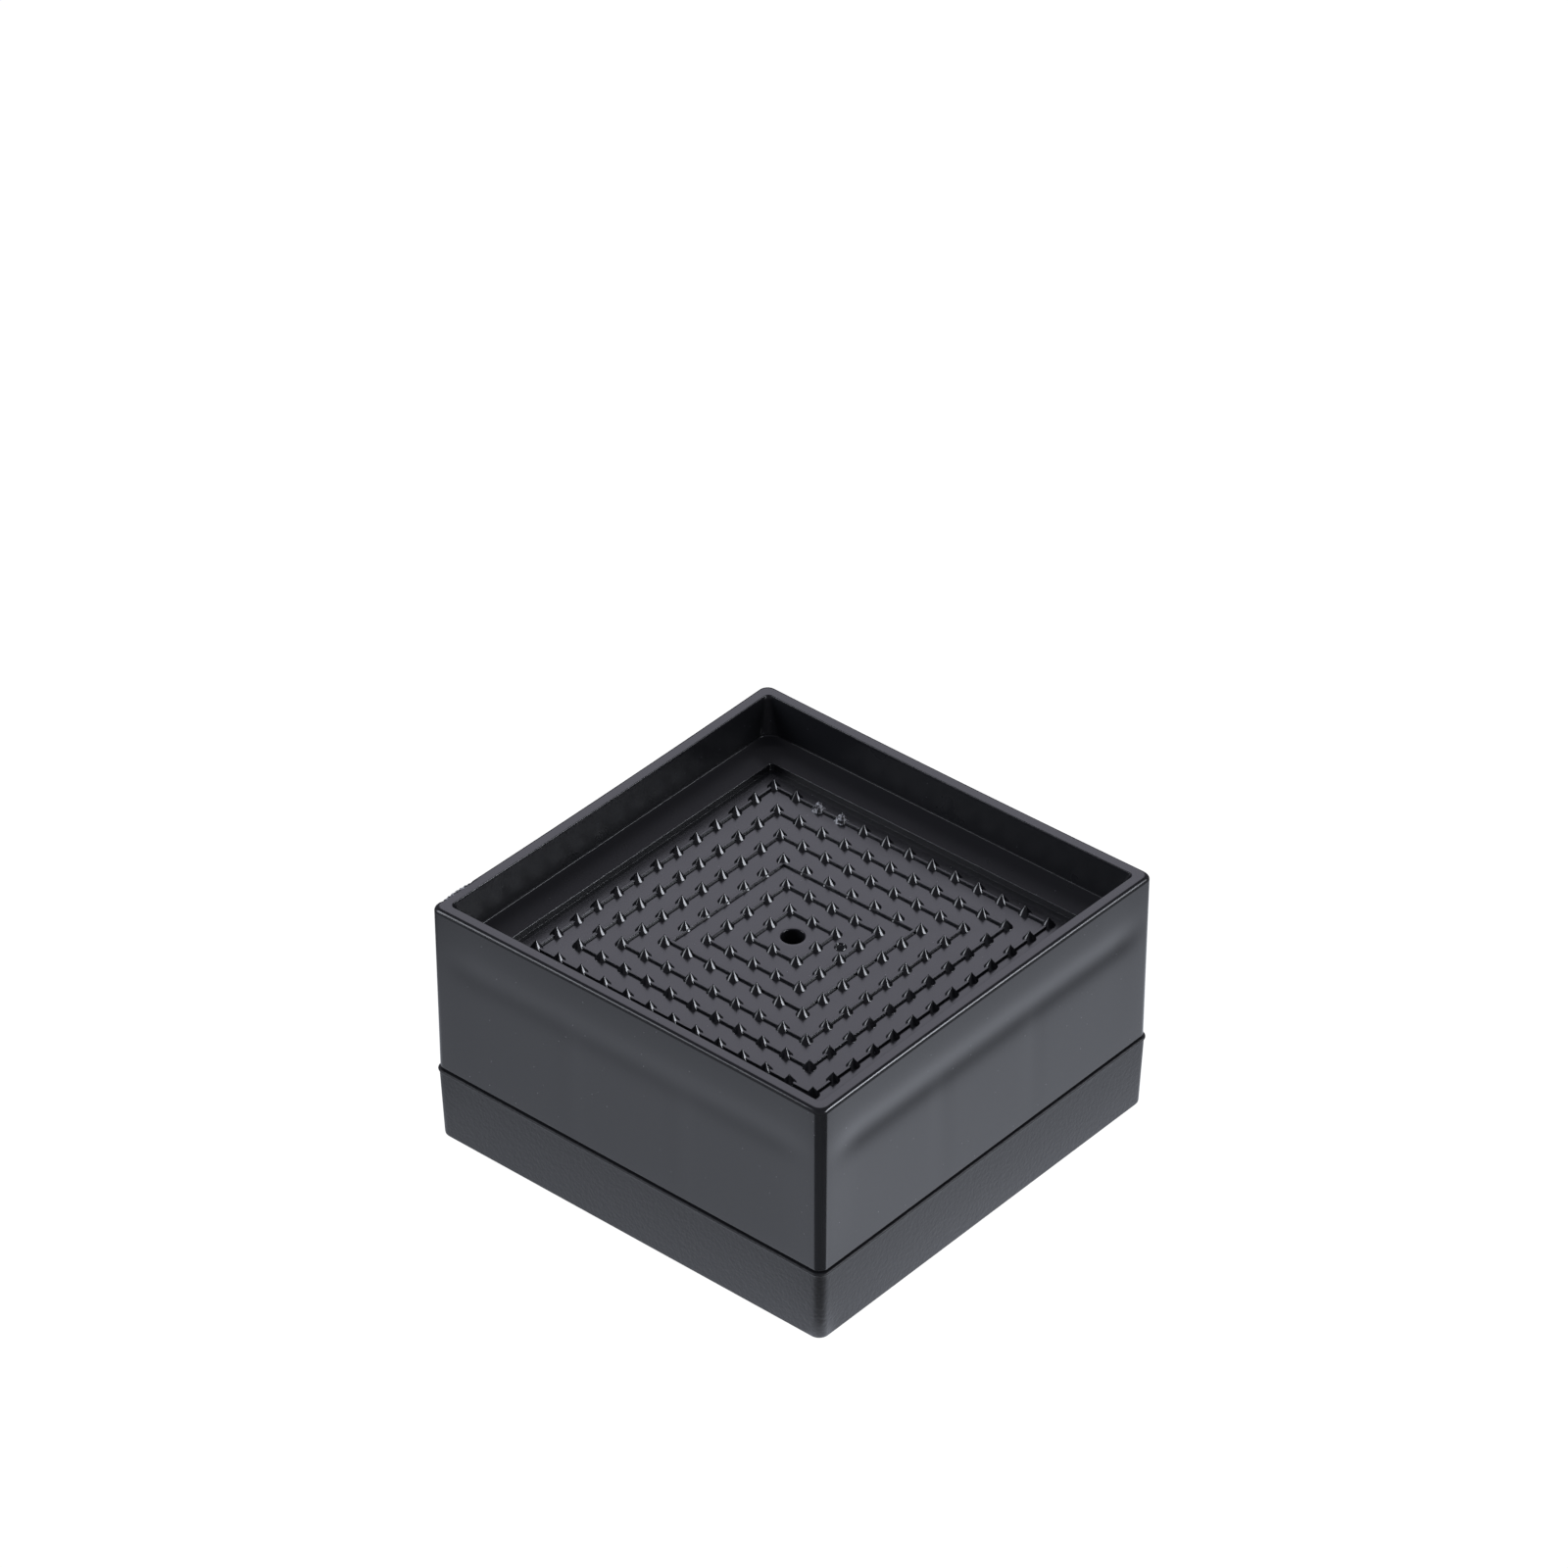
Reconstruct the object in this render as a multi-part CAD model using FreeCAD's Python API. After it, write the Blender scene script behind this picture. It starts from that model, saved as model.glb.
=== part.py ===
"""Square bed riser: a stiff moulded body with a studded tray on top, standing in a moulded-on rubber base shoe.

Millimetres. The origin is at the middle of the underside, +Z is up, and the sides lie along X and Y.
"""
import FreeCAD, Part
import math
import os

from FreeCAD import Vector

# Outside of the body
overall_height = 56.7
rim_width = 100.6
shoulder_flare = 0.2        # how far each side stands out just above the base shoe, from the rim
outer_corner_radius = 2.0
rim_edge_radius = 1.0

# Tray
rim_thickness = 2.85
tray_depth = 11.45          # from the rim down to the pip panel
tray_draft = 6.0            # degrees, on the tray's inner walls
tray_corner_radius = 1.2    # at the rim
border_width = 6.1          # from the foot of the wall to the edge of the pip panel
border_rise = 1.6           # the border slopes up this much from the panel's edge to the wall
border_corner_radius = 3.2  # at the foot of the wall
border_ledge = 0.12         # the border's mould insert is this much smaller than the wall above it
panel_step = 1.65           # from the pip panel up to the inner edge of the border
panel_corner_radius = 0.8
floor_thickness = 3.2
hole_diameter = 4.8

# Pips and the low ridges that join them
pip_pitch = 6.0
pip_rings = 6
pip_width = 2.5             # across the flats
pip_sides = 8
pip_height = 2.2
ridge_width = 1.2
ridge_height = 0.55
small_ring = 3              # this ring of ridges was cut smaller than its ring of pips
small_ring_inset = 0.8
root_depth = 0.5            # how far pips and ridges run down into the floor, to join it

# Ribbed hollow under the tray
skirt_thickness = 2.4
core_draft = 0.5            # degrees, on the walls of the hollow
rib_thickness = 2.2
rib_spacing = 28.4          # between the middles of the two ribs that run each way

# Base shoe
shoe_height = 16.9
shoe_floor = 3.0
shoe_wall = 1.9             # from the line of the body's shoulder in to the skirt
shoe_clearance = 0.1        # between the skirt and the shoe's pocket, on each side
shoe_proud = 0.2            # how far the shoe's wall stands out from the shoulder
shoe_taper = 0.5            # how much narrower each side is at the floor
shoe_corner_radius = 2.2
joint_gap = 0.3             # open line between the shoe's lip and the body's shoulder
lip_proud = 0.25            # how far the lip stands out from the shoe's wall
lip_height = 0.8
lip_bevel = 0.3
sole_bevel = 0.4

# Half widths and heights that follow from the sizes above
rim_half = rim_width / 2
shoulder_half = rim_half + shoulder_flare
skirt_half = shoulder_half - shoe_wall
shoulder_height = shoe_height + joint_gap
panel_height = overall_height - tray_depth
border_inner_height = panel_height + panel_step
border_outer_height = border_inner_height + border_rise
ceiling_height = panel_height - floor_thickness
tray_mouth_half = rim_half - rim_thickness
wall_drop = overall_height - border_outer_height
tray_foot_half = tray_mouth_half - wall_drop * math.tan(math.radians(tray_draft))
border_half = tray_foot_half - border_ledge
panel_half = border_half - border_width


def rounded_square(half, radius, height):
    """Closed wire of a level square with rounded corners, centred on the Z axis."""
    straight = half - radius
    slant = half - radius * (1 - math.sqrt(0.5))
    ends = []
    for x, y in [(1, -1), (1, 1), (-1, 1), (-1, -1)]:
        along_y = Vector(x * half, y * straight, height)
        along_x = Vector(x * straight, y * half, height)
        middle = Vector(x * slant, y * slant, height)
        ends.append((along_y, middle, along_x) if x == y else (along_x, middle, along_y))
    edges = []
    for number, (start, middle, end) in enumerate(ends):
        edges.append(Part.Arc(start, middle, end).toShape())
        next_start = ends[(number + 1) % len(ends)][0]
        edges.append(Part.LineSegment(end, next_start).toShape())
    return Part.Wire(edges)


def square_block(half, radius, low, high):
    """Upright block with rounded corners."""
    base = Part.Face(rounded_square(half, radius, low))
    return base.extrude(Vector(0, 0, high - low))


def leaning_bar(start, end, growth, low, high, across_start, across_end, turned):
    """Bar along X, or turned along Y, whose two ends lean out by growth from its low end to its high end."""
    outline = [(start, low), (end, low), (end + growth, high), (start - growth, high), (start, low)]
    if turned:
        wire = Part.makePolygon([Vector(across_start, along, z) for along, z in outline])
        reach = Vector(across_end - across_start, 0, 0)
    else:
        wire = Part.makePolygon([Vector(along, across_start, z) for along, z in outline])
        reach = Vector(0, across_end - across_start, 0)
    return Part.Face(wire).extrude(reach)


def drafted_square(half, radius, low, high, growth):
    """Square block with rounded upright corners, whose four sides lean out by growth as they rise."""
    middle = half - radius
    corners = []
    for x in (-middle, middle):
        for y in (-middle, middle):
            corners.append(Part.makeCone(radius, radius + growth, high - low, Vector(x, y, low)))
    along_x = leaning_bar(-half, half, growth, low, high, -middle, middle, False)
    along_y = leaning_bar(-half, half, growth, low, high, -middle, middle, True)
    return along_x.fuse([along_y] + corners).removeSplitter()


def level_edges(shape, height):
    """Edges of a shape that lie at one height."""
    found = []
    for edge in shape.Edges:
        heights = [vertex.Z for vertex in edge.Vertexes]
        if max(abs(z - height) for z in heights) < 1e-4:
            found.append(edge)
    return found


def body_outside():
    """Upper walls, slightly wider at their foot, with a rounded edge at the rim, on a straight skirt."""
    walls = drafted_square(
        shoulder_half, outer_corner_radius, shoulder_height, overall_height, -shoulder_flare
    )
    walls = walls.makeFillet(rim_edge_radius, level_edges(walls, overall_height))
    skirt = square_block(skirt_half, outer_corner_radius, shoe_floor, shoulder_height)
    return walls.fuse(skirt)


def tray_hollow():
    """What the tray leaves open: drafted walls, a sloping border and the sunk pip panel."""
    mouth = Part.makeLoft([
        rounded_square(tray_foot_half, border_corner_radius, border_outer_height),
        rounded_square(tray_mouth_half, tray_corner_radius, overall_height),
    ], True, True)
    border = Part.makeLoft([
        rounded_square(panel_half, panel_corner_radius, border_inner_height),
        rounded_square(border_half, border_corner_radius, border_outer_height),
    ], True, True)
    panel = square_block(panel_half, panel_corner_radius, panel_height, border_inner_height)
    hole = Part.makeCylinder(
        hole_diameter / 2, floor_thickness, Vector(0, 0, ceiling_height)
    )
    return mouth.fuse([border, panel, hole])


def ribbed_hollow():
    """Nine drafted cells, open at the bottom, which leave two ribs each way under the tray."""
    depth = ceiling_height - shoe_floor
    draw = depth * math.tan(math.radians(core_draft))
    mouth_half = skirt_half - skirt_thickness
    rib_middle = rib_spacing / 2
    rib_half = rib_thickness / 2
    strips = [
        (-mouth_half, -rib_middle - rib_half),
        (-rib_middle + rib_half, rib_middle - rib_half),
        (rib_middle + rib_half, mouth_half),
    ]
    cells = []
    for x_low, x_high in strips:
        for y_low, y_high in strips:
            along_x = leaning_bar(x_low, x_high, -draw, shoe_floor, ceiling_height, y_low, y_high, False)
            along_y = leaning_bar(y_low, y_high, -draw, shoe_floor, ceiling_height, x_low, x_high, True)
            cells.append(along_x.common(along_y))
    return cells


def pyramid(foot, width, sides, height):
    """Pointed stud with flat sides, standing at foot, that measures width across the flats."""
    step = 2 * math.pi / sides
    reach = width / 2 / math.cos(step / 2)
    corners = []
    for number in range(sides + 1):
        angle = (number + 0.5) * step
        corners.append(foot + Vector(reach * math.cos(angle), reach * math.sin(angle), 0))
    apex = foot + Vector(0, 0, height)
    faces = [Part.Face(Part.makePolygon(corners))]
    for start, end in zip(corners, corners[1:]):
        faces.append(Part.Face(Part.makePolygon([start, end, apex, start])))
    return Part.makeSolid(Part.makeShell(faces))


def pips():
    """Pointed studs on a square grid, in rings around the hole, which takes the middle place."""
    width_at_root = pip_width * (1 + root_depth / pip_height)
    studs = []
    for column in range(-pip_rings, pip_rings + 1):
        for row in range(-pip_rings, pip_rings + 1):
            if column == 0 and row == 0:
                continue
            foot = Vector(column * pip_pitch, row * pip_pitch, panel_height - root_depth)
            studs.append(pyramid(foot, width_at_root, pip_sides, pip_height + root_depth))
    return studs


def ridges():
    """One low square frame through each ring of pips."""
    frames = []
    for ring in range(1, pip_rings + 1):
        middle = ring * pip_pitch
        if ring == small_ring:
            middle = middle - small_ring_inset
        outer = middle + ridge_width / 2
        inner = middle - ridge_width / 2
        low = panel_height - root_depth
        height = root_depth + ridge_height
        around = Part.makeBox(2 * outer, 2 * outer, height, Vector(-outer, -outer, low))
        within = Part.makeBox(2 * inner, 2 * inner, height, Vector(-inner, -inner, low))
        frames.append(around.cut(within))
    return frames


def riser_body():
    """The one moulding that carries the furniture's foot."""
    shell = body_outside()
    shell = shell.cut([tray_hollow()] + ribbed_hollow())
    return shell.fuse(ridges() + pips()).removeSplitter()


def base_shoe():
    """Rubber shoe moulded round the skirt: leaning wall, raised lip at the top and a flat sole."""
    wall_half = shoulder_half + shoe_proud
    lip_foot = shoe_height - lip_height
    wall = drafted_square(wall_half - shoe_taper, shoe_corner_radius, 0, lip_foot, shoe_taper)
    wall = wall.makeChamfer(sole_bevel, level_edges(wall, 0))
    lip = square_block(wall_half + lip_proud, shoe_corner_radius + lip_proud, lip_foot, shoe_height)
    lip = lip.makeChamfer(lip_bevel, level_edges(lip, shoe_height))
    pocket_half = skirt_half + shoe_clearance
    pocket = square_block(pocket_half, outer_corner_radius + shoe_clearance, shoe_floor, shoe_height)
    return wall.fuse(lip).cut(pocket).removeSplitter()


def export(shape, name):
    """Write one piece and say what it is."""
    solids = shape.Solids
    assert len(solids) == 1 and shape.isValid(), name
    solids[0].exportStep("parts/" + name + ".step")
    print(name, "volume cm3", round(solids[0].Volume / 1000, 2), "faces", len(solids[0].Faces))


os.makedirs("parts", exist_ok=True)
export(riser_body(), "riser_body")
export(base_shoe(), "base_shoe")
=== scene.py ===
"""A square bed riser: a moulded plastic body with a studded tray on top, in a grained rubber base shoe.

The riser's sizes are written in millimetres and turned to metres where a mesh is made. The studio's are in metres.
The origin is at the middle of the underside, +Z is up, and the sides lie along X and Y.
"""
import math

import bpy
import numpy as np
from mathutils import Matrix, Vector


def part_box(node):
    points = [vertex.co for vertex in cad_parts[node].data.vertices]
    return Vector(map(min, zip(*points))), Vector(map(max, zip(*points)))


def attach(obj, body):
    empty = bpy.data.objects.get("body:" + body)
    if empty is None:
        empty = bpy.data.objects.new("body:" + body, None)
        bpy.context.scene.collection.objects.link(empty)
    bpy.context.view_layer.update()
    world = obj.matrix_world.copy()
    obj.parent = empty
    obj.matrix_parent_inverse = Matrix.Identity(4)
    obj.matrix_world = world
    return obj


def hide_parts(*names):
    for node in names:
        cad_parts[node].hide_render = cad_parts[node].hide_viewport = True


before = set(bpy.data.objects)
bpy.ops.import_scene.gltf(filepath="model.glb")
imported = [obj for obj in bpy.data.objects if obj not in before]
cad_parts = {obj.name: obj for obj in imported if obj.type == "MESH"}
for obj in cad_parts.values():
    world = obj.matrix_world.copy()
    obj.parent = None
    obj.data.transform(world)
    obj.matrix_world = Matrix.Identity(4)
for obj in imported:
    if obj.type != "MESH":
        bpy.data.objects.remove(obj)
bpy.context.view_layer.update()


# The riser body's shell
# One black ABS moulding with an even wall, which has sunk a little over the ribs and the tray floor behind it.
# The mould was polished outside, spark-eroded on the tray's walls and border, and milled for the pip panel,
# so the tray's walls and border are the dullest, and the panel lies between them and the outside.

metres = 0.001
body_low, body_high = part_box("riser_body")
body_top = body_high.z / metres
shoulder_half = body_high.x / metres
shoulder_edge = 0.25
shoulder_height = 17.2
rim_half = 50.65
rim_bow = 0.35
rim_edge = 1.0
rim_thickness = 2.85
skirt_half = 48.6
skirt_foot = body_low.z / metres
outer_corner = 2.0
tray_mouth_half = rim_half - rim_thickness
tray_mouth_corner = 1.2
tray_mouth_edge = 0.2
wall_foot_half = 46.59
wall_foot_fillet = 0.25
border_outer_half = 46.47
border_outer_height = 48.5
border_outer_corner = 3.2
border_inner_height = 46.9
border_widest_corner = 4.9
border_sag = 0.15
panel_half = 40.37
panel_corner = 0.8
panel_edge = 0.2
panel_foot_fillet = 0.05
panel_height = 45.25
hole_radius = 2.4
hole_edge = 0.2
ceiling_height = 42.05
hollow_foot_half = 46.2
hollow_ceiling_half = 45.86
hollow_corner = 1.0
rib_place = 14.2

sink_fade = 10
wall_bow = 0.16
floor_dent_depth = 0.29
floor_dent_skew = 0.11
floor_dent_height = 44.9
floor_dent_reach = 3.2
rib_dent_depth = 0.09
rib_dent_reach = 1.9
rib_dent_top = 43
scar_middle = -43.4
scar_half_length = 4.0
worn_half_length = 4.8
worn_inward = 0.45
worn_down = 0.35

# Finishes of the profile's rows, which are the places of their materials on the shell
polished, eroded, milled = 0, 1, 2


def from_hex(code):
    """Linear red, green, blue and alpha of an sRGB hex colour."""
    values = [int(code[place:place + 2], 16) / 255 for place in (1, 3, 5)]
    return [v / 12.92 if v <= 0.04045 else ((v + 0.055) / 1.055) ** 2.4 for v in values] + [1.0]


def add(tree, kind, inputs=None, **settings):
    """Adds a shader node: settings are its properties, inputs are values or sockets to link, by socket name."""
    made = tree.nodes.new(kind)
    for name, value in settings.items():
        setattr(made, name, value)
    for name, value in (inputs or {}).items():
        if isinstance(value, bpy.types.NodeSocket):
            tree.links.new(value, made.inputs[name])
        else:
            made.inputs[name].default_value = value
    return made


def new_material(name):
    """Empty node material and the tree to build it in."""
    material = bpy.data.materials.new(name)
    material.use_nodes = True
    material.node_tree.nodes.clear()
    return material, material.node_tree


def moulded_abs(name, gloss_low, gloss_high, grain_depth, shine=0.5):
    """Near-black plastic: a soft mottle in its gloss, a fine even grain from the mould and a few pale specks.

    The two gloss values are the ends of its roughness, the grain's depth is in millimetres, and shine is how
    strongly it mirrors: less where the mould's texture is too fine to be drawn.
    """
    material, tree = new_material(name)
    place = add(tree, "ShaderNodeTexCoord").outputs["Object"]
    grain = add(tree, "ShaderNodeTexNoise", {"Vector": place, "Scale": 1 / (0.35 * metres), "Detail": 2.0})
    cloud = add(tree, "ShaderNodeTexNoise", {"Vector": place, "Scale": 1 / (9 * metres), "Detail": 3.0})
    gloss = add(tree, "ShaderNodeMapRange", {
        "Value": cloud.outputs["Fac"], "From Min": 0.3, "From Max": 0.7, "To Min": gloss_low, "To Max": gloss_high,
    })
    relief = add(tree, "ShaderNodeBump", {
        "Height": grain.outputs["Fac"], "Strength": 0.25, "Distance": grain_depth * metres,
    })
    dust = add(tree, "ShaderNodeTexVoronoi", {"Vector": place, "Scale": 1 / (2.4 * metres)})
    speck = add(tree, "ShaderNodeMapRange", {
        "Value": dust.outputs["Distance"], "From Min": 0.03, "From Max": 0.055, "To Min": 0.8, "To Max": 0.0,
    })
    colour = add(tree, "ShaderNodeMix", {
        0: speck.outputs["Result"], 6: from_hex("#222326"), 7: from_hex("#77797e"),
    }, data_type="RGBA")
    shader = add(tree, "ShaderNodeBsdfPrincipled", {
        "Base Color": colour.outputs[2], "Roughness": gloss.outputs["Result"], "IOR": 1.5,
        "Specular IOR Level": shine, "Normal": relief.outputs["Normal"],
    })
    add(tree, "ShaderNodeOutputMaterial", {"Surface": shader.outputs["BSDF"]})
    return material


def ring_grid(half, radius, height, corner_steps=8, side_steps=48):
    """Rounded squares as a grid of points, one row for each half width, corner radius and height.

    A point is the middle of its corner's arc, or a place on the line between two such middles,
    plus the radius times the unit vector that points outwards there.
    """
    turn = np.linspace(0, np.pi / 2, corner_steps + 1)
    share = np.linspace(0, 1, side_steps + 2)[1:-1]
    middle_x, middle_y, angle = [], [], []
    corners = np.array([(1, -1), (1, 1), (-1, 1), (-1, -1)])
    for number in range(4):
        here = corners[number]
        onward = corners[(number + 1) % 4]
        start = (number - 1) * np.pi / 2
        middle_x += [np.full(turn.size, here[0]), here[0] + share * (onward[0] - here[0])]
        middle_y += [np.full(turn.size, here[1]), here[1] + share * (onward[1] - here[1])]
        angle += [start + turn, np.full(share.size, start + np.pi / 2)]
    middle_x, middle_y, angle = (np.concatenate(part) for part in (middle_x, middle_y, angle))
    half, radius, height = (np.asarray(part, float)[:, None] for part in (half, radius, height))
    x = (half - radius) * middle_x + radius * np.cos(angle)
    y = (half - radius) * middle_y + radius * np.sin(angle)
    z = height + 0 * angle
    return np.stack([x, y, z], axis=-1), angle


def ring_mesh(name, grid, joined, finish=None):
    """Mesh of rings: neighbouring rows are joined by quads, then the last row joins the first or both are capped.

    The finish of each row, when given, picks the material of the quads between it and the row before.
    """
    rows, columns = grid.shape[:2]
    row = np.arange(rows if joined else rows - 1)[:, None]
    column = np.arange(columns)[None, :]
    onward_row = (row + 1) % rows
    onward_column = (column + 1) % columns
    faces = np.stack([
        row * columns + column,
        row * columns + onward_column,
        onward_row * columns + onward_column,
        onward_row * columns + column,
    ], axis=-1).reshape(-1, 4).tolist()
    if not joined:
        faces.append(list(range(columns))[::-1])
        faces.append(list(range((rows - 1) * columns, rows * columns)))
    mesh = bpy.data.meshes.new(name)
    mesh.from_pydata((grid.reshape(-1, 3) * metres).tolist(), [], faces)
    if finish is not None:
        mesh.polygons.foreach_set("material_index", np.repeat(np.roll(finish, -1), columns).astype(int))
    return mesh


def finish_piece(mesh, sharp_angle=35):
    """Object of a mesh, shaded smooth except over edges sharper than the angle, riding on the riser."""
    mesh.shade_smooth()
    mesh.set_sharp_from_angle(angle=math.radians(sharp_angle))
    piece = bpy.data.objects.new(mesh.name, mesh)
    bpy.context.scene.collection.objects.link(piece)
    even = piece.modifiers.new("even normals", "WEIGHTED_NORMAL")
    even.keep_sharp = True
    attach(piece, "root")
    return piece


def arc(middle_half, middle_height, radius, start, end, steps=6):
    """Half widths and heights along an arc of a profile, from one angle to another, in degrees."""
    angle = np.radians(np.linspace(start, end, steps + 1))
    return middle_half + radius * np.cos(angle), middle_height + radius * np.sin(angle)


def body_profile():
    """Half width, corner radius, height and finish of each ring, from the skirt's foot round the section and back.

    The walls are straight and the edges are arcs. The border goes down inwards in a straight slope to which a
    fading exponential adds a slight sag, and its corner radius grows with its half width.
    """
    parts = []

    def run(halves, heights, radii, finish):
        halves, heights = np.broadcast_arrays(np.asarray(halves, float), np.asarray(heights, float))
        radii, finish = np.broadcast_to(radii, halves.shape), np.broadcast_to(finish, halves.shape)
        parts.append(np.stack([halves, radii, heights, finish], axis=-1))

    run([skirt_half] * 2, [skirt_foot, shoulder_height], outer_corner, polished)
    run(
        *arc(shoulder_half - shoulder_edge, shoulder_height + shoulder_edge, shoulder_edge, -90, 0, 4),
        outer_corner, polished,
    )
    wall_height = np.linspace(shoulder_height + 2 * shoulder_edge, body_top - rim_edge - 0.1, 70)
    wall_share = (wall_height - shoulder_height) / (body_top - shoulder_height)
    run(shoulder_half + (rim_half - shoulder_half) * wall_share, wall_height, outer_corner, polished)
    run(*arc(rim_half - rim_edge, body_top - rim_edge, rim_edge, 0, 90, 12), outer_corner, polished)
    run(
        *arc(tray_mouth_half + tray_mouth_edge + 0.02, body_top - tray_mouth_edge, tray_mouth_edge, 90, 180, 4),
        tray_mouth_corner, polished,
    )
    share = np.linspace(0.04, 1, 14)
    run(
        tray_mouth_half + (wall_foot_half - tray_mouth_half) * share,
        body_top + (border_outer_height + wall_foot_fillet - body_top) * share,
        tray_mouth_corner + (border_outer_corner - tray_mouth_corner) * share,
        eroded,
    )
    foot_half, foot_height = arc(
        border_outer_half - wall_foot_fillet, border_outer_height + wall_foot_fillet, wall_foot_fillet, 0, -62, 4
    )
    run(foot_half, foot_height, border_outer_corner, eroded)
    inward = np.linspace(0.06, 1, 14) ** 2 * 0.99 + 0.01
    slope = (1 - border_sag) * (1 - inward) + border_sag * np.exp(-4 * inward)
    drop = foot_height[-1] - border_inner_height
    border_half = foot_half[-1] + (panel_half + panel_edge - foot_half[-1]) * inward
    border_height = border_inner_height + drop * (slope - slope[-1]) / (1 - slope[-1])
    border_corner = np.minimum(panel_corner + 0.95 * (border_half - panel_half), border_widest_corner)
    border_corner += (border_outer_corner - border_corner) * np.clip(1 - inward / 0.25, 0, 1)
    run(border_half, border_height, border_corner, eroded)
    run(*arc(panel_half + panel_edge, border_inner_height - panel_edge, panel_edge, 80, 180, 4), panel_corner, milled)
    run(
        *arc(panel_half - panel_foot_fillet, panel_height + panel_foot_fillet, panel_foot_fillet, 0, -90, 3),
        panel_corner, milled,
    )
    run([hole_radius + 1.0], [panel_height], hole_radius + 1.0, milled)
    run(*arc(hole_radius + hole_edge, panel_height - hole_edge, hole_edge, 90, 180, 3), hole_radius, milled)
    run([hole_radius], [ceiling_height], hole_radius, milled)
    run([hollow_ceiling_half, hollow_foot_half], [ceiling_height, skirt_foot], hollow_corner, polished)
    return np.concatenate(parts)


def wall_sinks(grid, angle):
    """Moves the side walls in: the rim bows in between its corners, and the outer faces have shallow sinks.

    The rim's bow is a parabola. The sinks are half a sine wave up the wall, a bell curve level with the tray
    floor, deeper on two of the sides, and a fainter upright bell curve over each rib. All fade out smoothly
    towards the corners. The rim's outer edge is also worn away a little, by a parabola, at the gate scar.
    """
    x, y, z = grid[..., 0], grid[..., 1], grid[..., 2]
    along = np.where(np.abs(x) > np.abs(y), y, x)
    reach = np.maximum(np.abs(x), np.abs(y))
    above_shoulder = (reach > border_outer_half - 0.4) & (z > shoulder_height)
    outer = above_shoulder & (reach > skirt_half + 1.2) & (z < body_top - 0.2)
    share = np.clip((z - shoulder_height) / (body_top - shoulder_height), 0, 1)
    inner_share = np.clip((z - border_outer_height - 0.3) / (body_top - border_outer_height - 0.3), 0, 1)
    rise = np.where(outer, share ** 1.5, inner_share)
    rim_inward = rim_bow * rise * above_shoulder * (1 - np.clip(np.abs(along) / (rim_half - 3), 0, 1) ** 2)
    end_fade = np.clip((rim_half - 1.5 - np.abs(along)) / sink_fade, 0, 1)
    end_fade = end_fade * end_fade * (3 - 2 * end_fade)
    bow = wall_bow * np.sin(np.pi * share) ** 1.2
    floor_dent = floor_dent_depth + floor_dent_skew * (np.cos(angle) + np.sin(angle))
    floor_dent = floor_dent * np.exp(-((z - floor_dent_height) / floor_dent_reach) ** 2)
    below_tray = 1 / (1 + np.exp((z - rib_dent_top) / 1.2))
    over_rib = np.exp(-((np.abs(along) - rib_place) / rib_dent_reach) ** 2)
    rib_dent = rib_dent_depth * over_rib * below_tray * np.sin(np.pi * share) ** 0.5
    inward = (bow + floor_dent + rib_dent) * end_fade * outer + rim_inward
    moved = grid.copy()
    moved[..., 0] -= inward * np.cos(angle)
    moved[..., 1] -= inward * np.sin(angle)
    at_edge = (x < rim_edge - rim_half) * np.clip(z - body_top + 1.3, 0, 1)
    worn = np.clip(1 - ((y - scar_middle) / worn_half_length) ** 2, 0, 1) * at_edge
    moved[..., 0] += worn_inward * worn
    moved[..., 2] -= worn_down * worn
    return moved


profile = body_profile()
shell_grid, outward_angle = ring_grid(profile[:, 0], profile[:, 1], profile[:, 2])
shell_grid = wall_sinks(shell_grid, outward_angle)
riser_shell = finish_piece(ring_mesh("riser_shell", shell_grid, True, profile[:, 3]))
polished_abs = moulded_abs("polished moulded ABS", 0.16, 0.20, 0.008)
eroded_abs = moulded_abs("spark-eroded moulded ABS", 0.27, 0.30, 0.02, 0.38)
milled_abs = moulded_abs("ABS moulded on a milled insert", 0.19, 0.23, 0.015)
for skin in (polished_abs, eroded_abs, milled_abs):
    riser_shell.data.materials.append(skin)
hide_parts("riser_body")


# Ridges on the pip panel
# Six low square frames of ABS, one inside the other, that join the pips of each ring.
# They are part of the moulding; the third frame is cut a little smaller than its ring of pips.
# The cutter left their sides as smooth as the pips, while their tops have the panel's own finish.

pip_pitch = 6.0
pip_rings = 6
ridge_foot_half = 0.42
ridge_top_half = 0.22
ridge_height = 0.5
ridge_edge = 0.12
ridge_corner = 0.02
ridge_root = 0.1
small_ring = 3
small_ring_inset = 0.8


def joined_stacks(name, grids, closed):
    """One mesh of several grids whose columns run round: each closes on itself, or is capped at both ends."""
    points, faces, offset = [], [], 0
    for grid in grids:
        rows, columns = grid.shape[:2]
        index = np.arange(rows * columns).reshape(rows, columns) + offset
        if closed:
            index = np.concatenate([index, index[:1]])
        onward = np.roll(index, -1, axis=1)
        faces += np.stack([index[:-1], onward[:-1], onward[1:], index[1:]], axis=-1).reshape(-1, 4).tolist()
        if not closed:
            faces.append(index[0][::-1].tolist())
            faces.append(index[-1].tolist())
        points.append(grid.reshape(-1, 3) * metres)
        offset += rows * columns
    mesh = bpy.data.meshes.new(name)
    mesh.from_pydata(np.concatenate(points).tolist(), [], faces)
    return mesh


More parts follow.
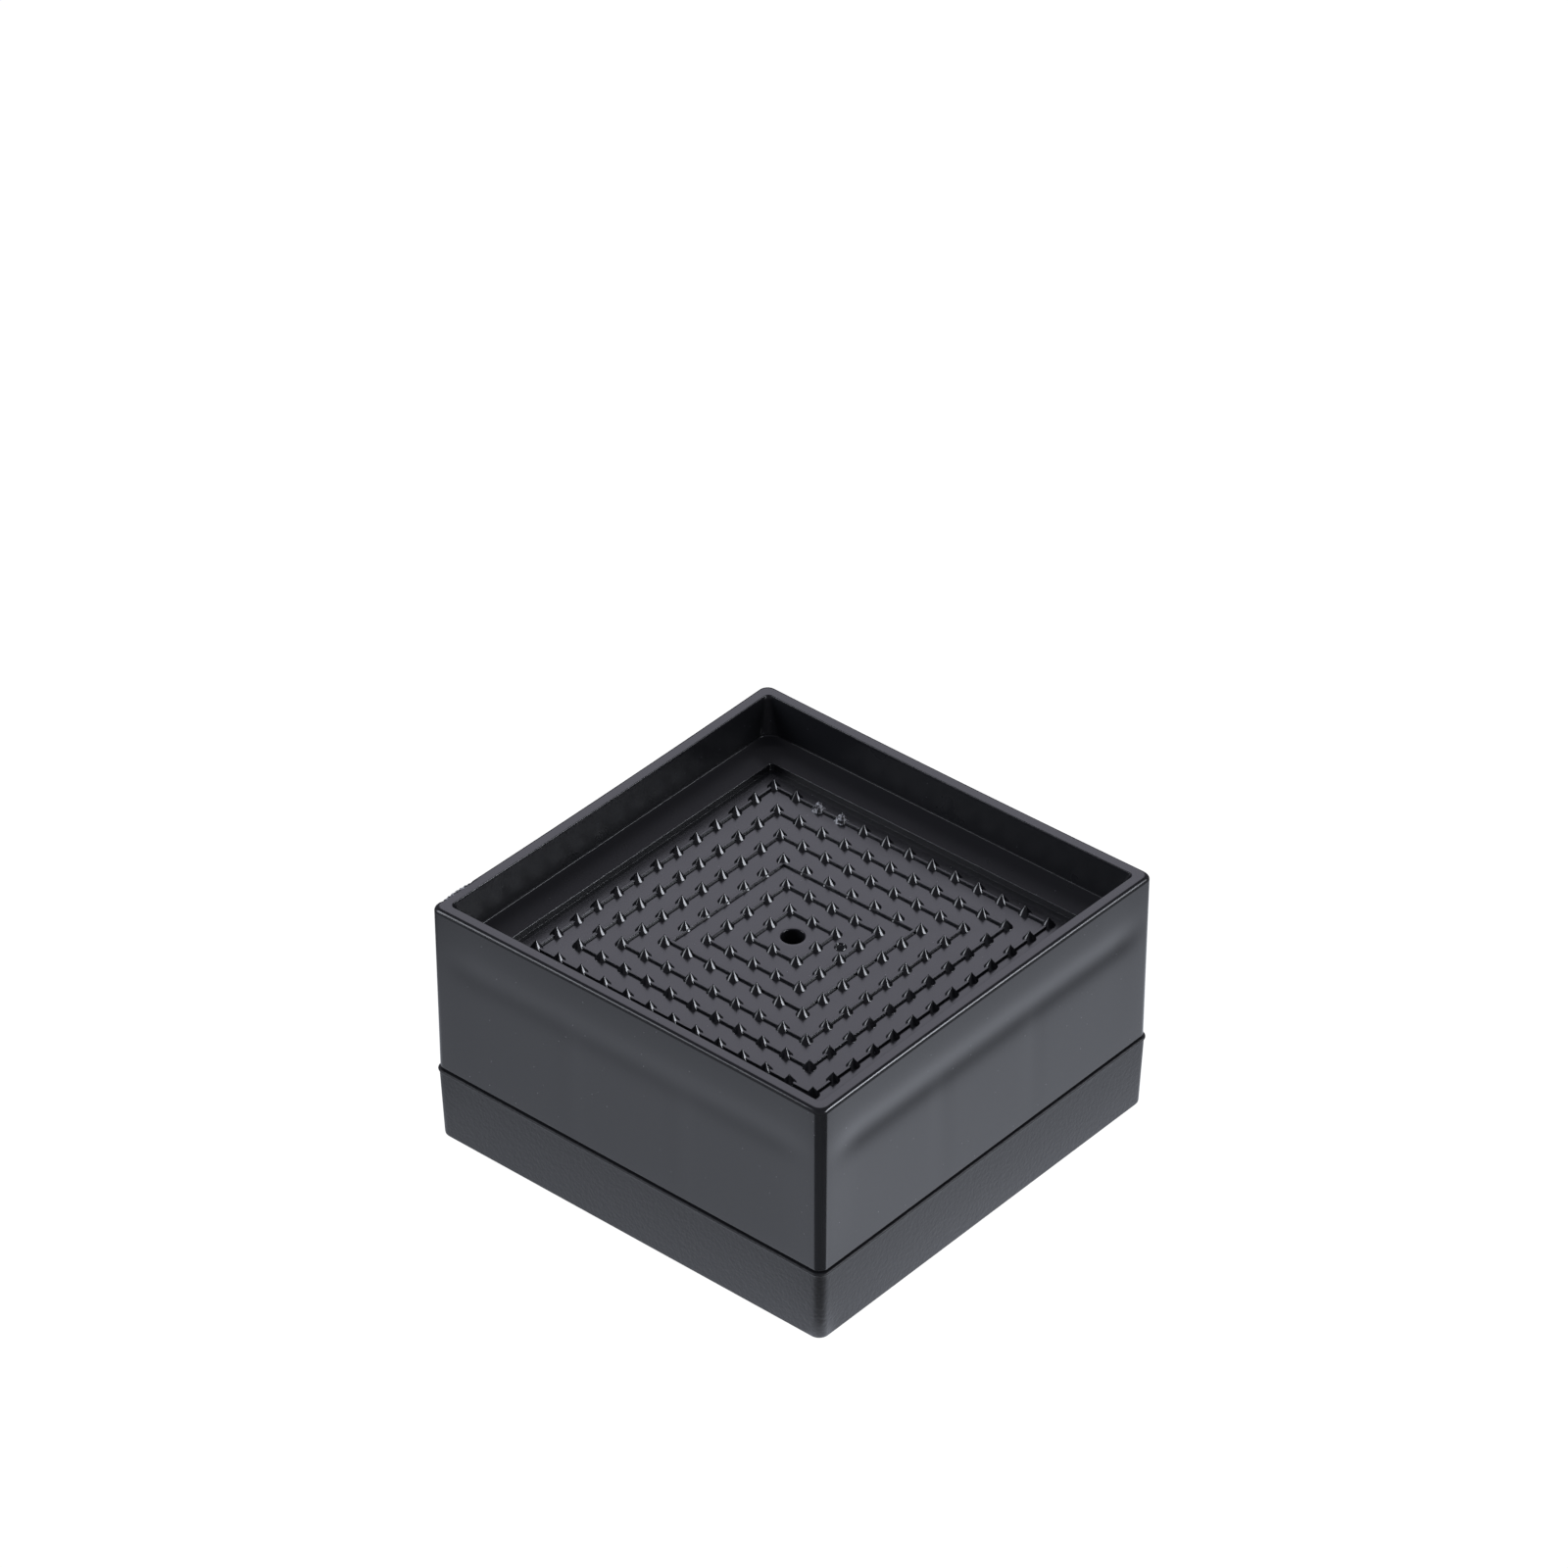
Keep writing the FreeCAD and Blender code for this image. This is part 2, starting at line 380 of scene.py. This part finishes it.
def ridge_frames():
    """One ring of a low section for each ring of pips: sloping sides, rounded edges and a flat top."""
    edge_half, edge_height = arc(ridge_top_half, ridge_height - ridge_edge, ridge_edge, 0, 90, 3)
    half = np.concatenate([[ridge_foot_half + 0.06, ridge_foot_half], edge_half])
    height = np.concatenate([[-ridge_root, 0.04], edge_height])
    across = np.concatenate([half, -half[::-1]])
    up = np.concatenate([height, height[::-1]]) + panel_height
    frames = []
    for ring in range(1, pip_rings + 1):
        middle = ring * pip_pitch - small_ring_inset * (ring == small_ring)
        frames.append(ring_grid(middle + across, np.full(across.size, ridge_corner), up, 1, 2)[0])
    return frames


turned_abs = moulded_abs("ABS moulded in polished pits", 0.09, 0.12, 0.004)
ridge_grids = ridge_frames()
ridge_mesh = joined_stacks("tray_ridges", ridge_grids, True)
section_points, columns = ridge_grids[0].shape[:2]
on_top = (np.arange(section_points) == section_points // 2 - 1).astype(int)
ridge_mesh.polygons.foreach_set("material_index", np.tile(np.repeat(on_top, columns), len(ridge_grids)))
ridges = finish_piece(ridge_mesh, 40)
ridges.data.materials.append(turned_abs)
ridges.data.materials.append(milled_abs)


# Pips
# Pointed ABS cones in rings round the hole, moulded with the panel, which bite into the foot of a leg.
# The mould's conical pits were turned and polished, so the pips are glossier than the floor.
# Two pips of the outer ring, near the far corner, have scuffed, whitened and flattened tips.

pip_radius = 1.38
pip_height = 2.0
pip_sides = 12
tip_radius = 0.26
pole_radius = 0.0001
scuffed_places = [(-4, 6), (-3, 6)]


def pip_rounds(radius, height, places):
    """Turned shapes on the square grid: one stack of rings of the same profile for each place."""
    angle = np.linspace(0, 2 * np.pi, pip_sides, endpoint=False)
    one = np.stack([
        radius[:, None] * np.cos(angle), radius[:, None] * np.sin(angle), height[:, None] + panel_height + 0 * angle,
    ], axis=-1)
    return [one + np.array([column * pip_pitch, row * pip_pitch, 0]) for column, row in places]


grid_places = [
    (column, row)
    for column in range(-pip_rings, pip_rings + 1)
    for row in range(-pip_rings, pip_rings + 1)
    if (column or row) and (column, row) not in scuffed_places
]
cone_radius = np.array([
    pip_radius + 0.15, pip_radius + 0.02, pip_radius - 0.03, tip_radius, 0.55 * tip_radius, pole_radius,
])
cone_height = np.array([-0.05, 0.02, 0.1, pip_height - 0.38, pip_height - 0.1, pip_height])
pips = finish_piece(
    joined_stacks("tray_pips", pip_rounds(cone_radius, cone_height, grid_places), False), 60
)
pips.data.materials.append(turned_abs)


def crushed(grids):
    """Moves the two rings below each tip up, down and to one side, by sums of sines round the pip."""
    angle = np.linspace(0, 2 * np.pi, pip_sides, endpoint=False)
    bent = []
    for number, grid in enumerate(grids):
        grid = grid.copy()
        ragged = 0.16 * np.sin(3 * angle + number) + 0.12 * np.sin(5 * angle + 2 * number)
        grid[2:4, :, 2] += ragged
        grid[2:4, :, 0] += 0.25 * ragged + 0.1
        bent.append(grid)
    return bent


def scuffed_abs():
    """ABS whitened where it was crushed: pale stress marks in ragged patches of about half a millimetre, lighter than
    whitening alone so that they are also painted glints.
    """
    material, tree = new_material("scuffed whitened ABS with painted glints")
    place = add(tree, "ShaderNodeTexCoord").outputs["Object"]
    patch = add(tree, "ShaderNodeTexNoise", {"Vector": place, "Scale": 1 / (0.6 * metres), "Detail": 3.0})
    share = add(tree, "ShaderNodeMapRange", {
        "Value": patch.outputs["Fac"], "From Min": 0.48, "From Max": 0.56, "To Min": 0.0, "To Max": 1.0,
    })
    colour = add(tree, "ShaderNodeMix", {
        # The pale is stress whitening lightened into painted highlights, standing for glints.
        0: share.outputs["Result"], 6: from_hex("#26272a"), 7: from_hex("#dcdee2"),
    }, data_type="RGBA")
    shader = add(tree, "ShaderNodeBsdfPrincipled", {"Base Color": colour.outputs[2], "Roughness": 0.35, "IOR": 1.5})
    add(tree, "ShaderNodeOutputMaterial", {"Surface": shader.outputs["BSDF"]})
    return material


scuff_radius = np.array([pip_radius + 0.2, pip_radius + 0.02, 0.62, 0.4, pole_radius])
scuff_height = np.array([-0.05, 0.06, 1.4, 1.65, 1.5])
scuffed_pips = finish_piece(
    joined_stacks("scuffed_pips", crushed(pip_rounds(scuff_radius, scuff_height, scuffed_places)), False),
    60,
)
whitened_and_glint_abs = scuffed_abs()
scuffed_pips.data.materials.append(whitened_and_glint_abs)


# Gate mark and gate scar
# Where the plastic entered the mould: a small ring with a nub on the tray floor, and a torn edge on the rim.
# Both are the body's own ABS; the torn edge is ragged and whitened, in a shallow worn place, its pale patches partly
# painted glints.

mark_place = np.array([9.4, 3.5, panel_height])
mark_radius = np.array([1.35, 1.2, 1.0, 0.8, 0.62, 0.36, pole_radius])
mark_height = np.array([-0.05, 0.22, 0.34, 0.04, 0.06, 0.4, 0.48])
turn = np.linspace(0, 2 * np.pi, 20, endpoint=False)
mark_grid = mark_place + np.stack([
    mark_radius[:, None] * np.cos(turn), mark_radius[:, None] * np.sin(turn), mark_height[:, None] + 0 * turn,
], axis=-1)
gate_mark = finish_piece(joined_stacks("gate_mark", [mark_grid], False), 60)
gate_mark.data.materials.append(turned_abs)

# The torn edge is two strands along the rim, at these places across it and heights: rings whose radius is a
# clipped sum of sines, tapered at both ends. The upper strand is the lower one, thinner and turned end for end.
lower_strand = (-50.15, 56.19)
upper_strand = (-49.65, 56.36)
upper_share = 0.66
scar_rings = 60
scar_along = np.linspace(scar_middle - scar_half_length, scar_middle + scar_half_length, scar_rings)[:, None]
scar_turn = np.linspace(0, 2 * np.pi, 8, endpoint=False)
scar_ragged = 0.5 + 0.3 * np.sin(scar_along * 5.3 + 2 * scar_turn) + 0.25 * np.sin(scar_along * 14.3 - scar_turn)
scar_taper = np.sin(np.linspace(0.08, np.pi - 0.08, scar_rings))[:, None] ** 0.4
scar_size = (0.16 + 0.34 * np.clip(scar_ragged, 0, 1)) * scar_taper
scar_strands = [
    np.stack([
        across + size * np.sin(scar_turn), scar_along + 0 * size, height + size * np.cos(scar_turn),
    ], axis=-1)
    for (across, height), size in ((lower_strand, scar_size), (upper_strand, upper_share * scar_size[::-1]))
]
gate_scar = finish_piece(joined_stacks("gate_scar", scar_strands, False), 50)
gate_scar.data.materials.append(whitened_and_glint_abs)


# Ribs under the tray
# Two thin walls each way inside the hollow, which stand on the shoe's floor and carry the load.
# They are part of the body's ABS moulding and are only seen with the shoe taken off.

rib_foot_half = 1.1
rib_head_half = 1.44


def rib_plates():
    """Four tapered plates, each eight corners: thickness grows from foot to ceiling."""
    foot = np.array([(-rib_foot_half, -1), (rib_foot_half, -1), (rib_foot_half, 1), (-rib_foot_half, 1)])
    head = np.array([(-rib_head_half, -1), (rib_head_half, -1), (rib_head_half, 1), (-rib_head_half, 1)])
    plates = []
    for place in (-rib_place, rib_place):
        for turned in (False, True):
            rings = []
            for outline, height in ((foot, skirt_foot), (head, ceiling_height + 0.1)):
                across, along = outline[:, 0] + place, outline[:, 1] * hollow_foot_half
                x, y = (-along, across) if turned else (across, along)
                rings.append(np.stack([x, y, np.full(4, height)], axis=-1))
            plates.append(np.stack(rings))
    return plates


ribs = finish_piece(joined_stacks("under_ribs", rib_plates(), False))
ribs.data.materials.append(polished_abs)


# Base shoe
# A shoe of black thermoplastic rubber moulded round the body's skirt, so that the riser doesn't slip.
# Its wall leans out a little to a soft rounded lip, with a narrow open line between lip and body.

_, shoe_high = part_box("base_shoe")
lip_half = shoe_high.x / metres
lip_top = shoe_high.z / metres
lip_proud = 0.25
lip_height = 0.8
lip_round = 0.38
lip_drop = 0.02
lip_shift = 0.012
shoe_taper = 0.5
sole_half = lip_half - lip_proud - shoe_taper
sole_edge = 0.4
shoe_corner = 2.2
pocket_half = 48.7
shoe_floor = 3.0
cap_half = 30.0


def shoe_profile():
    """Half width, corner radius and height of each ring, from the sole's middle out, up, over the lip and down."""
    parts = []

    def run(halves, heights, radii):
        halves, heights = np.broadcast_arrays(np.asarray(halves, float), np.asarray(heights, float))
        parts.append(np.stack([halves, np.broadcast_to(radii, halves.shape), heights], axis=-1))

    run([cap_half, sole_half - 1.2], [0.0, 0.0], shoe_corner)
    run(*arc(sole_half - sole_edge, sole_edge, sole_edge, -90, 0, 5), shoe_corner)
    height = np.linspace(2 * sole_edge, lip_top - lip_height - 0.15, 18)
    run(sole_half + shoe_taper * height / (lip_top - lip_height), height, shoe_corner)
    run(*arc(lip_half - lip_round, lip_top - lip_round - 0.04, lip_round, -62, 90, 9), shoe_corner + 0.1)
    run([pocket_half + 0.1], [lip_top], shoe_corner)
    run([pocket_half, pocket_half], [lip_top - 0.1, shoe_floor], outer_corner)
    run([cap_half], [shoe_floor], outer_corner)
    return np.concatenate(parts)


def soft_lip(grid, angle):
    """Lets the lip wander down and in a little along each side, as a soft edge does, by a sum of three sine waves.

    The sum of their heights is added to the waves, so that the lip never goes above or beyond its true place.
    """
    x, y, z = grid[..., 0], grid[..., 1], grid[..., 2]
    along = np.where(np.abs(x) > np.abs(y), y, x)
    side = np.round(angle / (np.pi / 2))
    near_lip = np.clip((z - (lip_top - 1.3)) / 1.0, 0, 1) * (np.maximum(np.abs(x), np.abs(y)) > pocket_half + 0.3)
    wander = (1.0 + 0.7 + 0.6) + (
        np.sin(along / 3.1 + 1.7 * side) + 0.7 * np.sin(along / 1.9 + 2.6 * side) + 0.6 * np.sin(along / 6.7 + side)
    )
    moved = grid.copy()
    moved[..., 2] -= lip_drop * wander * near_lip
    inward = lip_shift * wander * near_lip
    moved[..., 0] -= inward * np.cos(angle)
    moved[..., 1] -= inward * np.sin(angle)
    return moved


def grained_rubber():
    """Dull near-black rubber with a fine leather grain of rounded cells, pressed in by the mould."""
    material, tree = new_material("moulded black rubber")
    place = add(tree, "ShaderNodeTexCoord").outputs["Object"]
    cells = add(tree, "ShaderNodeTexVoronoi", {"Vector": place, "Scale": 1 / (0.8 * metres)}, feature="SMOOTH_F1")
    fine = add(tree, "ShaderNodeTexNoise", {"Vector": place, "Scale": 1 / (0.5 * metres), "Detail": 3.0})
    both = add(tree, "ShaderNodeMath", {0: cells.outputs["Distance"], 1: fine.outputs["Fac"]}, operation="ADD")
    relief = add(tree, "ShaderNodeBump", {"Height": both.outputs["Value"], "Strength": 0.6, "Distance": 0.1 * metres})
    shader = add(tree, "ShaderNodeBsdfPrincipled", {
        "Base Color": from_hex("#232427"), "Roughness": 0.5, "IOR": 1.5, "Specular IOR Level": 0.42,
        "Normal": relief.outputs["Normal"],
    })
    add(tree, "ShaderNodeOutputMaterial", {"Surface": shader.outputs["BSDF"]})
    return material


shoe = shoe_profile()
shoe_grid, shoe_angle = ring_grid(shoe[:, 0], shoe[:, 1], shoe[:, 2], 8, 90)
shoe_shell = finish_piece(ring_mesh("shoe_shell", soft_lip(shoe_grid, shoe_angle), False))
shoe_shell.data.materials.append(grained_rubber())
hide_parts("base_shoe")


# Studio
# A white table between two upright softboxes, left and right of the riser, with a lit sheet behind and above.
# A strip light beside the right softbox adds its gloss and no other light.
# A glowing card round the riser, seen only in its reflections, paints reflected light and shade: it gives the walls
# their greys and draws the corner dark.

def white_table():
    """White sheet that glows evenly, so that it stays clean white."""
    material, tree = new_material("white table")
    shader = add(tree, "ShaderNodeBsdfPrincipled", {
        "Base Color": from_hex("#404040"), "Roughness": 0.9,
        "Emission Color": from_hex("#ffffff"), "Emission Strength": 1.0,
    })
    add(tree, "ShaderNodeOutputMaterial", {"Surface": shader.outputs["BSDF"]})
    return material


def flat_sheet(name, reach, height, material):
    """Square sheet that belongs to the stage."""
    mesh = bpy.data.meshes.new(name)
    corners = [(-reach, -reach, height), (reach, -reach, height), (reach, reach, height), (-reach, reach, height)]
    mesh.from_pydata(corners, [], [(0, 1, 2, 3)])
    sheet = bpy.data.objects.new(name, mesh)
    bpy.context.scene.collection.objects.link(sheet)
    mesh.materials.append(material)
    return sheet


flat_sheet("table", 6.0, 0.0, white_table())


def painted_reflection_card():
    """Glowing card that paints the riser's reflections: painted light brighter to the right, fading outwards, and
    painted shade in a wide wedge before the front corner.

    Right or left is x + y, and brightness also grows with x - y, towards the front corner. The fade runs with the
    larger of |x| and 0.9 |y|, and so does a slightly brighter band at the riser's foot. The wedge is the place on
    the near side of both of two lines through the front corner, at 35 and at -120 degrees from +X. A narrow bright
    streak runs out from that corner at 38 degrees: it fades with the distance from its line, and behind the corner.
    """
    material, tree = new_material("painted reflection card")
    place = add(tree, "ShaderNodeTexCoord").outputs["Object"]
    split = add(tree, "ShaderNodeSeparateXYZ", {"Vector": place})
    x, y = split.outputs["X"], split.outputs["Y"]
    rightward = add(tree, "ShaderNodeMath", {0: x, 1: y}, operation="ADD").outputs["Value"]
    side = add(tree, "ShaderNodeMapRange", {
        "Value": rightward, "From Min": -0.06, "From Max": 0.06, "To Min": 0.80, "To Max": 1.20,
    }, interpolation_type="SMOOTHSTEP").outputs["Result"]
    nearer = add(tree, "ShaderNodeMath", {0: x, 1: y}, operation="SUBTRACT").outputs["Value"]
    tone = add(tree, "ShaderNodeMath", {0: nearer, 1: 2.0, 2: side}, operation="MULTIPLY_ADD").outputs["Value"]
    x_reach = add(tree, "ShaderNodeMath", {0: x}, operation="ABSOLUTE").outputs["Value"]
    y_reach = add(tree, "ShaderNodeMath", {0: y}, operation="ABSOLUTE").outputs["Value"]
    y_reach = add(tree, "ShaderNodeMath", {0: y_reach, 1: 0.9}, operation="MULTIPLY").outputs["Value"]
    reach = add(tree, "ShaderNodeMath", {0: x_reach, 1: y_reach}, operation="MAXIMUM").outputs["Value"]
    fade = add(tree, "ShaderNodeMapRange", {
        "Value": reach, "From Min": 0.076, "From Max": 0.128, "To Min": 1.0, "To Max": 0.2,
    }, interpolation_type="SMOOTHSTEP").outputs["Result"]
    # Painted light: a brighter band reflected at the riser's foot.
    foot = add(tree, "ShaderNodeMapRange", {
        "Value": reach, "From Min": 0.051, "From Max": 0.062, "To Min": 1.3, "To Max": 1.0,
    }, interpolation_type="SMOOTHSTEP").outputs["Result"]
    from_corner = add(tree, "ShaderNodeVectorMath", {0: place, 1: (0.05, -0.05, 0)}, operation="SUBTRACT")
    from_corner = from_corner.outputs["Vector"]
    right_line = add(tree, "ShaderNodeVectorMath", {0: from_corner, 1: (-0.574, 0.819, 0)}, operation="DOT_PRODUCT")
    left_line = add(tree, "ShaderNodeVectorMath", {0: from_corner, 1: (-0.866, 0.5, 0)}, operation="DOT_PRODUCT")
    near_side = add(tree, "ShaderNodeMath", {
        0: right_line.outputs["Value"], 1: left_line.outputs["Value"],
    }, operation="MAXIMUM").outputs["Value"]
    # Painted shade: the dark wedge reflected in the front corner.
    wedge = add(tree, "ShaderNodeMapRange", {
        "Value": near_side, "From Min": -0.006, "From Max": 0.002, "To Min": 0.12, "To Max": 1.0,
    }, interpolation_type="SMOOTHSTEP").outputs["Result"]
    # Painted highlight: the bright streak reflected out from the front corner.
    streak_line = add(tree, "ShaderNodeVectorMath", {0: from_corner, 1: (-0.616, 0.788, 0)}, operation="DOT_PRODUCT")
    off_streak = add(tree, "ShaderNodeMath", {0: streak_line.outputs["Value"]}, operation="ABSOLUTE").outputs["Value"]
    behind_corner = add(tree, "ShaderNodeVectorMath", {
        0: from_corner, 1: (-0.788, -0.616, 0),
    }, operation="DOT_PRODUCT")
    off_streak = add(tree, "ShaderNodeMath", {
        0: off_streak, 1: behind_corner.outputs["Value"],
    }, operation="MAXIMUM").outputs["Value"]
    streak = add(tree, "ShaderNodeMapRange", {
        "Value": off_streak, "From Min": 0.001, "From Max": 0.004, "To Min": 1.8, "To Max": 1.0,
    }, interpolation_type="SMOOTHSTEP").outputs["Result"]
    strength = add(tree, "ShaderNodeMath", {0: tone, 1: fade}, operation="MULTIPLY").outputs["Value"]
    for factor in (foot, wedge, streak):
        strength = add(tree, "ShaderNodeMath", {0: strength, 1: factor}, operation="MULTIPLY").outputs["Value"]
    glow = add(tree, "ShaderNodeEmission", {"Color": from_hex("#eef3ff"), "Strength": strength})
    add(tree, "ShaderNodeOutputMaterial", {"Surface": glow.outputs["Emission"]})
    return material


# Painted reflections: the card glows only for the riser's gloss, hidden from the camera, from diffuse light and from
# shadows.
card = flat_sheet("painted_reflection_card", 1.2, 0.0003, painted_reflection_card())
card.visible_camera = False
card.visible_diffuse = False
card.visible_shadow = False

behind = (-0.529, 0.615, 0.584)
room_dark = 0.20
sheet_glow = 1.7

world = bpy.data.worlds.new("dim room with a lit sheet")
world.use_nodes = True
room = world.node_tree
room.nodes.clear()
direction = add(room, "ShaderNodeTexCoord").outputs["Generated"]
towards = add(room, "ShaderNodeVectorMath", {0: direction, 1: behind}, operation="DOT_PRODUCT")
glow = add(room, "ShaderNodeMapRange", {
    "Value": towards.outputs["Value"], "From Min": 0.92, "From Max": 0.985, "To Min": room_dark, "To Max": sheet_glow,
}, interpolation_type="SMOOTHSTEP")
sky = add(room, "ShaderNodeBackground", {"Color": from_hex("#f0efff"), "Strength": glow.outputs["Result"]})
add(room, "ShaderNodeOutputWorld", {"Surface": sky.outputs["Background"]})
bpy.context.scene.world = world


riser_middle = Vector((0, 0, 0.03))
daylight = "#f2f6ff"


def softbox(name, place, wide, high, power, colour):
    """Upright rectangular area light at a place, turned to face the riser."""
    light = bpy.data.lights.new(name, "AREA")
    light.shape = "RECTANGLE"
    light.size = wide
    light.size_y = high
    light.energy = power
    light.color = from_hex(colour)[:3]
    lamp = bpy.data.objects.new(name, light)
    lamp.location = place
    lamp.rotation_mode = "QUATERNION"
    lamp.rotation_quaternion = (riser_middle - Vector(place)).to_track_quat("-Z", "Y")
    bpy.context.scene.collection.objects.link(lamp)
    return lamp


softbox("right softbox", (0.66, 0.62, 0.44), 0.32, 0.38, 1.1, daylight)
softbox("left softbox", (-0.66, -0.62, 0.44), 0.4, 0.5, 3.3, daylight)
strip = softbox("strip light", (0.82, 0.35, 0.53), 0.62, 0.32, 8.0, daylight)
strip.visible_diffuse = False


# Camera
# A long lens from the front corner, looking down at about 36 degrees, as in the photograph.

aim = Vector((-0.01286, 0.01225, 0.06978))
view_azimuth = math.radians(40.71)
view_elevation = math.radians(35.73)
view_distance = 1.509
back = Vector((
    math.sin(view_azimuth) * math.cos(view_elevation),
    -math.cos(view_azimuth) * math.cos(view_elevation),
    math.sin(view_elevation),
))
camera_data = bpy.data.cameras.new("camera")
camera_data.lens = 174.8
camera_data.sensor_width = 36.0
camera_data.clip_end = 20.0
camera = bpy.data.objects.new("camera", camera_data)
camera.location = aim + back * view_distance
camera.rotation_mode = "QUATERNION"
camera.rotation_quaternion = (-back).to_track_quat("-Z", "Y")
bpy.context.scene.collection.objects.link(camera)
bpy.context.scene.camera = camera
bpy.context.scene.view_settings.view_transform = "Standard"
